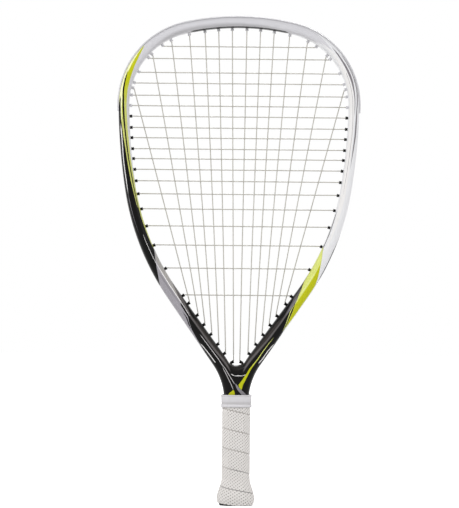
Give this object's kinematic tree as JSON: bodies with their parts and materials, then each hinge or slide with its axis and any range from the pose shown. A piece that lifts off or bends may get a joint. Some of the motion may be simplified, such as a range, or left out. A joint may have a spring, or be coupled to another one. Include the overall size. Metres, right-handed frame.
{
  "type": "racquetball racket",
  "caption": "Racquetball racket with a hollow teardrop composite frame, long mains running into the throat, a bumper guard, grommet strips and a wound grip.",
  "frame": {"origin": "middle of the butt cap's flat bottom face", "axes": "+Z from the butt to the crown, +Y through the head from the front face to the back face, +X to the right as the front face is seen"},
  "size_m": [0.2778, 0.0394, 0.5588],
  "materials": {
    "lacquer": "clear-coated paint on moulded carbon and glass fibre",
    "white_nylon": "moulded, slightly glossy",
    "black_nylon": "moulded, satin",
    "string": "extruded multifilament with a smooth coat",
    "foam": "moulded polyurethane foam",
    "butt_plastic": "moulded, satin",
    "grip_leather": "perforated synthetic leather, satin",
    "vinyl": "self-adhesive vinyl",
    "collar_rubber": "moulded, smooth",
    "steel": "drawn wire"
  },
  "bodies": {
    "root": {"frame": "lacquer", "throat_bridge": "lacquer", "bumper_guard": "white_nylon", "grommet_strip_left": "black_nylon", "throat_grommet_strip_left": "black_nylon", "grommet_strip_right": "black_nylon", "throat_grommet_strip_right": "black_nylon", "main_string": "string", "cross_string": "string", "handle_pallet_front": "foam", "butt_staple_front": "steel", "handle_pallet_back": "foam", "butt_staple_back": "steel", "butt_cap": "butt_plastic", "grip_wrap": "grip_leather", "finishing_tape": "vinyl", "grip_collar": "collar_rubber"}
  },
  "joints": []
}
